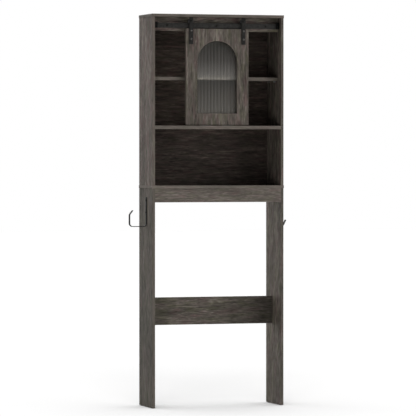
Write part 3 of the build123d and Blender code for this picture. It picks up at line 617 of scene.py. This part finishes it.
def socket_bolt(head_radius, head_height, key, shank_radius, length):
    """Rows of a button-head bolt: the hexagon socket, a domed head, the shank and its tip. Millimetres."""
    flat = key / 2
    dome = [
        (head_radius * math.sin(t), 0.85 * head_height * (1 - math.cos(t)), ROUND)
        for t in np.linspace(math.asin(min(0.95, 1.3 * flat / head_radius)), math.pi / 2, 6)
    ]
    return (
        (flat, 0.7 * head_height, HEX),
        (flat, dome[0][1] + 0.12, HEX),
        (1.2 * flat, dome[0][1], ROUND),
        *dome,
        (head_radius, head_height, ROUND),
        (shank_radius, head_height, ROUND),
        (shank_radius, length - 0.6, ROUND),
        (shank_radius - 0.5, length, ROUND),
    )


rail_steel = powder_coat("black_rail_steel", dark="#2e2d2c", light="#3e3d3b")
rail = solid("track_rail_bar", [plate(*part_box("track_rail"), X_AXIS, corner=0.0007, ease=0.0006)])
fit(rail, rail_steel, "black_steel", "cabinet", "track_rail")
spacer_rows = sleeve(bore=3.1, radius=5.98, length=15.5, chamfer=0.5)
spacers = turned_set("rail_spacer_sleeves", "rail_spacers", 0.04, Y_AXIS, 1, spacer_rows, ring=True)
fit(spacers, rail_steel, "black_steel", "cabinet", "rail_spacers")
bolt_steel = powder_coat("black_oxide_bolts", dark="#20201f", light="#34332f")
rail_bolt_rows = socket_bolt(
    head_radius=4.98, head_height=3.0, key=3.0, shank_radius=3.0, length=31.5
)
rail_bolts = turned_set("rail_bolts_turned", "rail_bolts", 0.06, Y_AXIS, 1, rail_bolt_rows)
fit(rail_bolts, bolt_steel, "black_steel", "cabinet", "rail_bolts")

# End stops: folded steel saddles over the rail's ends, powder-coated black, which the rollers run up to. Each
# is clamped by a socket grub screw from the front.
coat(hook_steel, "rail_stop_left", "rail_stop_right")
grub_rows = (
    (1.0, 1.6, HEX),
    (1.0, 0.15, HEX),
    (1.3, 0.05, ROUND),
    (1.7, 0.0, ROUND),
    (1.98, 0.3, ROUND),
    (1.98, 4.0, ROUND),
)
stop_screws = turned_set("stop_screws_turned", "stop_screws", 0.03, Y_AXIS, 1, grub_rows)
fit(stop_screws, bolt_steel, "black_steel", "cabinet", "stop_screws")

# Door guides: tongues of moulded nylon that run in the groove under the door. Countersunk screws hold them on
# the fixed shelf.
coat(nylon, "door_guides")
guide_screw_rows = (
    (0.5, 1.1, CROSS),
    (1.5, 0.1, CROSS),
    (1.8, 0.0, ROUND),
    (2.66, 0.0, ROUND),
    (1.5, 1.2, ROUND),
    (1.5, 8.6, ROUND),
    (0.4, 10.0, ROUND),
)
guide_screws = turned_set(
    "guide_screws_turned", "guide_screws", 0.016, Z_AXIS, -1, guide_screw_rows
)
fit(guide_screws, zinc, "zinc_steel", "cabinet", "guide_screws")

# Door: one board of the same laminate with the grain up it, hung from two straps. An arched window is cut
# through it, with a rebate behind for the pane.
door_oak = oak_laminate(
    "oak_laminate_door", "Z", "Y", (7.0, 7.2, 2.9), blush=-0.02, shade=0.06, bold=0.82
)
coat(door_oak, "door_panel")

# Pane: cast glass, rolled with round reeds on its front. The reeds break up what stands behind it, and the
# back is satin-etched. Its arched top follows the rebate.
REED_PITCH = 0.015
REED_RISE = 0.0014
REED_STEPS = 12
PANE_ROWS = 12
# Painted shade: the reeds' valleys are tinted darker than their crests.
REED_PAINTED_SHADE_STOPS = ((0.05, "#eeefed"), (0.6, "#f4f6f3"))
# Painted light and shade on the etch: pale at the sill and just above the shelf, dark under it and at the
# head.
ETCH_PAINTED_LIGHT_SILL = "#c6c0bb"
ETCH_PAINTED_SHADE_UNDER_SHELF = "#868380"
ETCH_PAINTED_LIGHT_SHELF = "#e4dfdc"
ETCH_PAINTED_MIDDLE = "#9c9794"
ETCH_PAINTED_SHADE_HEAD = "#7c7974"
GLASS_SHADOW = "#e0e2e0"
pane_lo, pane_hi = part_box("reeded_pane")
shelf_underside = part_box("middle_shelf")[0].z


def reeded_pane(name):
    """Glass pane on a grid of x and v: z = foot + v * (top(x) - foot), top(x) = spring + sqrt(R^2 - x^2).

    The front is y = crest + q - sqrt(q^2 - s^2), s the distance from the reed's middle and q its radius.
    """
    radius = pane_hi.x
    spring = pane_hi.z - radius
    reed_radius = (REED_PITCH**2 / 4 + REED_RISE**2) / (2 * REED_RISE)
    step = REED_PITCH / REED_STEPS
    inner = np.arange(math.ceil(pane_lo.x / step), math.floor(pane_hi.x / step) + 1) * step
    x = np.unique(np.round(np.concatenate([[pane_lo.x], inner, [pane_hi.x]]), 7))
    s = x % REED_PITCH - REED_PITCH / 2
    front = pane_lo.y + reed_radius - np.sqrt(reed_radius**2 - s**2)
    top = spring + np.sqrt(np.maximum(radius**2 - x**2, 0.0))
    v = np.linspace(0, 1, PANE_ROWS)[:, None]
    z = pane_lo.z + v * (top - pane_lo.z)
    wide = np.broadcast_to(x, z.shape)
    sheets = [np.stack([wide, np.broadcast_to(y, z.shape), z], -1) for y in (front, pane_hi.y)]
    around = np.concatenate([sheets[0], sheets[1][::-1]])
    return solid(name, [around.transpose(1, 0, 2)])


def reeded_glass(name):
    """Reeded cast glass, etched behind: a grey, striped veil that pales towards the shelf and the sill.

    The stripes are painted shade in the reeds' valleys, following |sin(pi x / pitch)|. The paling towards
    the shelf and the sill is painted light, a ramp over the height, with painted shade under the shelf and
    at the head. Light that only passes through is let by as if the pane were clear.
    """
    material, tree, shader = new_material(name)
    where = add_node(tree, "TexCoord")
    axes = add_node(tree, "SeparateXYZ", {0: where.outputs["Object"]})
    # Painted shade along the reeds' valleys.
    phase = add_node(tree, "Math", {0: axes.outputs[0], 1: math.pi / REED_PITCH}, operation="MULTIPLY")
    wave = add_node(tree, "Math", {0: phase.outputs[0]}, operation="SINE")
    crest = add_node(tree, "Math", {0: wave.outputs[0]}, operation="ABSOLUTE")
    reeds = add_node(tree, "ValToRGB", {"Fac": crest.outputs[0]}, REED_PAINTED_SHADE_STOPS)
    # Painted light and shade over the height of the pane.
    span = {"Value": axes.outputs[2], "From Min": pane_lo.z, "From Max": pane_hi.z}
    height = add_node(tree, "MapRange", span)
    under = (shelf_underside - pane_lo.z) / (pane_hi.z - pane_lo.z)
    etch_painted_light_stops = (
        (0.03, ETCH_PAINTED_LIGHT_SILL),
        (under, ETCH_PAINTED_SHADE_UNDER_SHELF),
        (under + 0.02, ETCH_PAINTED_LIGHT_SHELF),
        (0.72, ETCH_PAINTED_MIDDLE),
        (0.92, ETCH_PAINTED_SHADE_HEAD),
    )
    veil = add_node(tree, "ValToRGB", {"Fac": height.outputs[0]}, etch_painted_light_stops)
    striped = {0: 1.0, 6: reeds.outputs[0], 7: veil.outputs[0]}
    tint = add_node(tree, "Mix", striped, data_type="RGBA", blend_type="MULTIPLY")
    etch = add_node(tree, "TexNoise", {"Vector": where.outputs["Object"], "Scale": 1000 / 14, "Detail": 3.0})
    rough = add_node(tree, "MapRange", {"Value": etch.outputs[0], "To Min": 0.38, "To Max": 0.50})
    tree.links.new(tint.outputs[2], shader.inputs["Base Color"])
    tree.links.new(rough.outputs[0], shader.inputs["Roughness"])
    shader.inputs["Transmission Weight"].default_value = 0.9
    shader.inputs["IOR"].default_value = 1.2
    path = add_node(tree, "LightPath")
    clear = add_node(tree, "BsdfTransparent", {"Color": linear(GLASS_SHADOW)})
    passed = {0: path.outputs["Is Shadow Ray"], 1: shader.outputs[0], 2: clear.outputs[0]}
    mixed = add_node(tree, "MixShader", passed)
    tree.links.new(mixed.outputs[0], tree.nodes["Material Output"].inputs["Surface"])
    return material


glass = reeded_glass("reeded_glass")
fit(reeded_pane("reeded_pane_rolled"), glass, "reeded_glass", "door", "reeded_pane")

# Pane clips: tabs of moulded nylon on the door's back, which lap the pane's edge. A small cross-head screw
# holds each of them.
clip_grids = [plate(*box, Y_AXIS, corner=0.0015, ease=0.0005) for box in pieces_of("pane_clips", 0.03)]
fit(solid("pane_clips_moulded", clip_grids), nylon, "black_nylon", "door", "pane_clips")
clip_screw_rows = cross_screw(head_radius=2.98, head_height=1.2, shank_radius=1.5, length=9.2)
clip_screws = turned_set("clip_screws_turned", "clip_screws", 0.03, Y_AXIS, -1, clip_screw_rows)
fit(clip_screws, zinc, "zinc_steel", "door", "clip_screws")

# Strap hangers: flat steel straps on the door's face, each held by two button-head bolts. Where the key and
# handling have rubbed the bolts, their steel shows grey.


def rubbed_steel(name):
    """Steel rubbed through its black: a grey metal, worn brighter in specks of about 3 mm."""
    material, tree, shader = new_material(name)
    where = add_node(tree, "TexCoord")
    wear = add_node(tree, "TexNoise", {"Vector": where.outputs["Object"], "Scale": 1000 / 3, "Detail": 3.0})
    tint = add_node(tree, "ValToRGB", {"Fac": wear.outputs[0]}, ((0.35, "#3c3b39"), (0.65, "#524f4d")))
    tree.links.new(tint.outputs[0], shader.inputs["Base Color"])
    shader.inputs["Metallic"].default_value = 1.0
    shader.inputs["Roughness"].default_value = 0.42
    return material


rubbed = rubbed_steel("rubbed_steel_bolts")
strap_steel = powder_coat("black_strap_steel", dark="#282726", light="#373634")
for hand in ("left", "right"):
    strap_grid = plate(*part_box(f"hanger_{hand}"), Y_AXIS, corner=0.002, ease=0.0005)
    strap = solid(f"hanger_{hand}_strap", [strap_grid])
    fit(strap, strap_steel, "black_steel", "door", f"hanger_{hand}")
hanger_bolt_rows = socket_bolt(
    head_radius=4.48, head_height=2.5, key=2.5, shank_radius=2.5, length=16.5
)
hanger_bolts = turned_set("hanger_bolts_turned", "hanger_bolts", 0.022, Y_AXIS, 1, hanger_bolt_rows)
fit(hanger_bolts, rubbed, "black_steel", "door", "hanger_bolts")

# Roller axles: a steel bolt through the top of each strap, with a turned bush in front of the roller and a
# lock nut behind it.
axle_rows = socket_bolt(
    head_radius=4.48, head_height=2.5, key=2.5, shank_radius=3.0, length=23.6
)
axles = turned_set("roller_axles_turned", "roller_axles", 0.05, Y_AXIS, 1, axle_rows)
fit(axles, bolt_steel, "black_steel", "door", "roller_axles")
bush_rows = sleeve(bore=3.0, radius=4.98, length=2.4, chamfer=0.3)
bushes = turned_set("axle_bushes_turned", "axle_bushes", 0.03, Y_AXIS, 1, bush_rows, ring=True)
fit(bushes, bolt_steel, "black_steel", "door", "axle_bushes")
nut_rows = (
    (3.0, 0.0, ROUND),
    (4.8, 0.0, ROUND),
    (4.98, 0.4, HEX),
    (4.98, 2.6, HEX),
    (4.7, 2.9, ROUND),
    (4.6, 3.7, ROUND),
    (4.2, 4.0, ROUND),
    (3.0, 4.0, ROUND),
)
nuts = turned_set("axle_nuts_turned", "axle_nuts", 0.03, Y_AXIS, 1, nut_rows, ring=True)
fit(nuts, bolt_steel, "black_steel", "door", "axle_nuts")

# Rollers: wheels of moulded nylon with a flange on each side of the tread. They ride on the rail's upper edge
# and turn on the axles.
ROLLER_WIDTH = 9.8
half_roller = (
    (3.05, 0.0),
    (5.0, 0.0),
    (5.4, 0.5),
    (9.4, 0.5),
    (9.8, 0.0),
    (10.9, 0.0),
    (11.35, 0.3),
    (11.48, 0.9),
    (11.4, 1.7),
    (10.9, 2.3),
    (10.2, 2.48),
    (8.3, 2.5),
    (8.0, 2.9),
)
roller_rows = [(radius, depth, ROUND) for radius, depth in half_roller]
roller_rows += [(radius, ROLLER_WIDTH - depth, ROUND) for radius, depth in half_roller[::-1]]
for hand in ("left", "right"):
    roller = turned_set(
        f"roller_{hand}_moulded", f"roller_{hand}", 0.05, Y_AXIS, 1, roller_rows, ring=True
    )
    fit(roller, nylon, "black_nylon", f"roller_{hand}", f"roller_{hand}")

# Floor: a plain sheet of pale paper under the rack, which keeps its soft shadow. It looks pale to the eye,
# and throws less light than that back on the rack.
FLOOR_HALF = 30.0
FLOOR_COLOUR = "#e5e5e5"
FLOOR_BOUNCE = "#787878"


def seen(tree):
    """Light path, and a value: 1 for rays that show a thing to the eye, also in metal or glass, else 0."""
    path = add_node(tree, "LightPath")
    shown = path.outputs["Is Camera Ray"]
    for ray in ("Is Glossy Ray", "Is Transmission Ray"):
        shown = add_node(tree, "Math", {0: shown, 1: path.outputs[ray]}, operation="MAXIMUM").outputs[0]
    return path, shown


floor_corners = [(x * FLOOR_HALF, y * FLOOR_HALF, 0.0) for x, y in ((-1, -1), (1, -1), (1, 1), (-1, 1))]
floor_mesh = bpy.data.meshes.new("floor")
floor_mesh.from_pydata(floor_corners, [], [(0, 1, 2, 3)])
floor = bpy.data.objects.new("floor", floor_mesh)
bpy.context.scene.collection.objects.link(floor)
paper = bpy.data.materials.new("floor_paper")
paper.use_nodes = True
paper_tree = paper.node_tree
paper_tree.nodes.clear()
paper_seen = seen(paper_tree)[1]
paper_tone = add_node(
    paper_tree, "Mix", {0: paper_seen, 6: linear(FLOOR_BOUNCE), 7: linear(FLOOR_COLOUR)}, data_type="RGBA"
)
paper_matt = add_node(paper_tree, "BsdfDiffuse", {"Color": paper_tone.outputs[2]})
add_node(paper_tree, "OutputMaterial", {"Surface": paper_matt.outputs[0]})
floor_mesh.materials.append(paper)

# Studio light: wide soft lamps, given by azimuth from the front, elevation, level and spread in degrees, and
# two low softboxes in front, given by azimuth and power, for the light that comes back off the studio. They
# light the rack alone. The floor has four lamps of its own, which give its short and soft shadow.
SOFTBOX_WIDTH = 1.4
SOFTBOX_HEIGHT = 0.9
SOFTBOX_DISTANCE = 2.6
SOFTBOX_MIDDLE = Vector((0, 0, 0.45))
SOFTBOX_AIM = Vector((0, 0, 0.9))


def towards(azimuth, elevation):
    """Unit vector to a lamp: (sin a cos e, -cos a cos e, sin e), in degrees."""
    a, e = math.radians(azimuth), math.radians(elevation)
    return Vector((math.sin(a) * math.cos(e), -math.cos(a) * math.cos(e), math.sin(e)))


floor_lit = bpy.data.collections.new("floor_lit")
floor_lit.objects.link(floor)
rack_lit = bpy.data.collections.new("rack_lit")
rack_lit.objects.link(floor)
rack_lit.collection_objects[0].light_linking.link_state = "EXCLUDE"
for name, lit, azimuth, elevation, level, spread in (
    ("key", rack_lit, 45, 8, 0.23, 40),
    ("front", rack_lit, 0, 4, 0.05, 20),
    ("right", rack_lit, 75, 8, 0.60, 40),
    ("high", rack_lit, 45, 55, 0.15, 40),
    ("rear", rack_lit, 180, 20, 0.70, 60),
    ("top", rack_lit, 180, 60, 0.68, 90),
    ("floor_front", floor_lit, -16, 33, 0.34, 30),
    ("floor_high", floor_lit, -16, 55, 0.05, 30),
    ("floor_over", floor_lit, 164, 82, 0.30, 36),
    ("floor_fill", floor_lit, 0, 90, 0.80, 180),
):
    lamp = bpy.data.lights.new(name, "SUN")
    lamp.energy = level * math.pi
    lamp.angle = math.radians(spread)
    lamp_object = bpy.data.objects.new(name, lamp)
    lamp_object.rotation_euler = towards(azimuth, elevation).to_track_quat("Z", "Y").to_euler()
    lamp_object.light_linking.receiver_collection = lit
    bpy.context.scene.collection.objects.link(lamp_object)
for name, azimuth, power in (("low_left", -47, 16.9), ("low_right", 45, 13.1)):
    lamp = bpy.data.lights.new(name, "AREA")
    lamp.shape = "RECTANGLE"
    lamp.size = SOFTBOX_WIDTH
    lamp.size_y = SOFTBOX_HEIGHT
    lamp.energy = power
    lamp_object = bpy.data.objects.new(name, lamp)
    lamp_object.location = SOFTBOX_DISTANCE * towards(azimuth, 0) + SOFTBOX_MIDDLE
    lamp_object.rotation_euler = (lamp_object.location - SOFTBOX_AIM).to_track_quat("Z", "Y").to_euler()
    lamp_object.visible_camera = False
    lamp_object.light_linking.receiver_collection = rack_lit
    bpy.context.scene.collection.objects.link(lamp_object)

# Backdrop: white all round, shown to the eye and in metal and glass. It gives no light to matt surfaces, and
# none to what is seen by way of one.
WHITE = (1, 1, 1, 1)
world = bpy.data.worlds.new("studio")
bpy.context.scene.world = world
world.use_nodes = True
world_tree = world.node_tree
world_tree.nodes.clear()
world_path, world_seen = seen(world_tree)
unbounced = {0: world_path.outputs["Diffuse Depth"], 1: 0.5}
first = add_node(world_tree, "Math", unbounced, operation="LESS_THAN")
strength = add_node(world_tree, "Math", {0: world_seen, 1: first.outputs[0]}, operation="MULTIPLY")
sky = add_node(world_tree, "Background", {"Color": WHITE, "Strength": strength.outputs[0]})
add_node(world_tree, "OutputWorld", {"Surface": sky.outputs[0]})

# Camera: a long lens far off, at the place, dip and turn that bring the boards' edges onto those of the
# photograph.
CAMERA_PLACE = (-4.2965, -13.2456, 1.0923)
CAMERA_DIP = 0.951
CAMERA_TURN = 17.911
camera_data = bpy.data.cameras.new("camera")
camera_data.lens = 276.5
camera_data.sensor_width = 36.0
camera_data.clip_end = 100.0
camera = bpy.data.objects.new("camera", camera_data)
camera.location = CAMERA_PLACE
camera.rotation_euler = (math.radians(90 - CAMERA_DIP), 0.0, math.radians(-CAMERA_TURN))
bpy.context.scene.collection.objects.link(camera)
bpy.context.scene.camera = camera
bpy.context.scene.view_settings.view_transform = "Standard"
